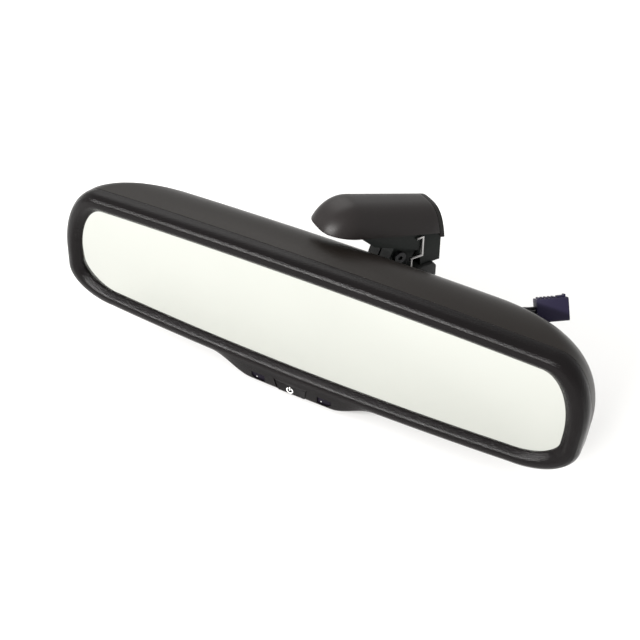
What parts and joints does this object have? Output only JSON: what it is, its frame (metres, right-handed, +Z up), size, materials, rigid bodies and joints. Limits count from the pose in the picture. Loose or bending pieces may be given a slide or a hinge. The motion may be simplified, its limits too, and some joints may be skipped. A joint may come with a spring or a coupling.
{
  "type": "interior rearview mirror",
  "caption": "Self-dimming interior rearview mirror with a black bezel, power button, ball joint, hooded windshield mount and pigtail connector.",
  "frame": {"origin": "middle of the channel floor that seats on the windshield's mounting button", "axes": "+X along the mirror's length, the glass faces -Y, +Z up"},
  "size_m": [0.255, 0.0832, 0.0868],
  "materials": {
    "case_gloss": "satin moulded black, fine grain on the ridge",
    "case_satin": "satin moulded warm dark grey",
    "hood": "satin moulded warm dark grey",
    "mirror": "silvered self-dimming glass",
    "gel": "clear electrochromic gel",
    "seal": "epoxy seal",
    "copper": "plated copper alloy",
    "foam": "adhesive foam",
    "inner_plastic": "plain moulded black",
    "natural_plastic": "natural nylon",
    "clear_plastic": "tinted clear resin",
    "board": "green solder mask",
    "window": "dark tinted window",
    "button": "satin moulded black",
    "white_print": "white inlay",
    "lead": "black sleeve over thin wires",
    "rubber": "moulded rubber",
    "connector": "dark violet-black moulding",
    "spring_steel": "bright spring strip",
    "screw_steel": "zinc-plated screw",
    "ball_steel": "ground steel",
    "cast": "black-coated zinc casting"
  },
  "bodies": {
    "mount": {"ball_stud": "ball_steel", "mount_bracket": "cast", "clamp_screw": "screw_steel", "spring_clip": "spring_steel", "lock_block": "case_satin", "mount_hood": "hood", "hood_rim": "hood"},
    "liner": {"ball_liner": "natural_plastic"},
    "cup": {"spring_cup": "spring_steel"},
    "button": {"power_button": "button", "power_symbol": "white_print", "switch_plunger": "natural_plastic"},
    "head": {"bezel": "case_gloss", "rear_housing": "case_satin", "front_glass": "mirror", "dimming_gel": "gel", "gel_seal": "seal", "rear_glass": "mirror", "bus_clips": "copper", "foam_pad": "foam", "carrier_plate": "inner_plastic", "circuit_board": "board", "board_chips": "inner_plastic", "board_header": "natural_plastic", "tact_switch": "inner_plastic", "indicator_led": "clear_plastic", "glare_sensor": "clear_plastic", "ambient_sensor": "clear_plastic", "ambient_lens": "window", "indicator_window": "window", "sensor_window": "window", "ball_socket": "inner_plastic", "socket_screws": "screw_steel", "inner_lead": "lead", "lead_grommet": "rubber", "lead_clips": "inner_plastic", "harness_lead": "lead", "connector_body": "connector", "connector_lock": "connector", "connector_pins": "copper"}
  },
  "joints": [
    {"name": "head_pan", "type": "hinge", "parent": "mount", "child": "liner", "pos_m": [-0.02405, -0.03435, -0.01463], "axis": [0, 0, 1], "range_deg": [-60, 5]},
    {"name": "head_tilt", "type": "hinge", "parent": "liner", "child": "cup", "pos_m": [-0.02405, -0.03435, -0.01463], "axis": [1, 0, 0], "range_deg": [-6, 12]},
    {"name": "head_roll", "type": "hinge", "parent": "cup", "child": "head", "pos_m": [-0.02405, -0.03435, -0.01463], "axis": [0, 1, 0], "range_deg": [-6, 6]},
    {"name": "power_press", "type": "slide", "parent": "head", "child": "button", "axis": [0, 1, 0], "range_m": [0, 0.0008], "stiffness_N_per_m": 1500, "springref_m": -0.0005}
  ]
}
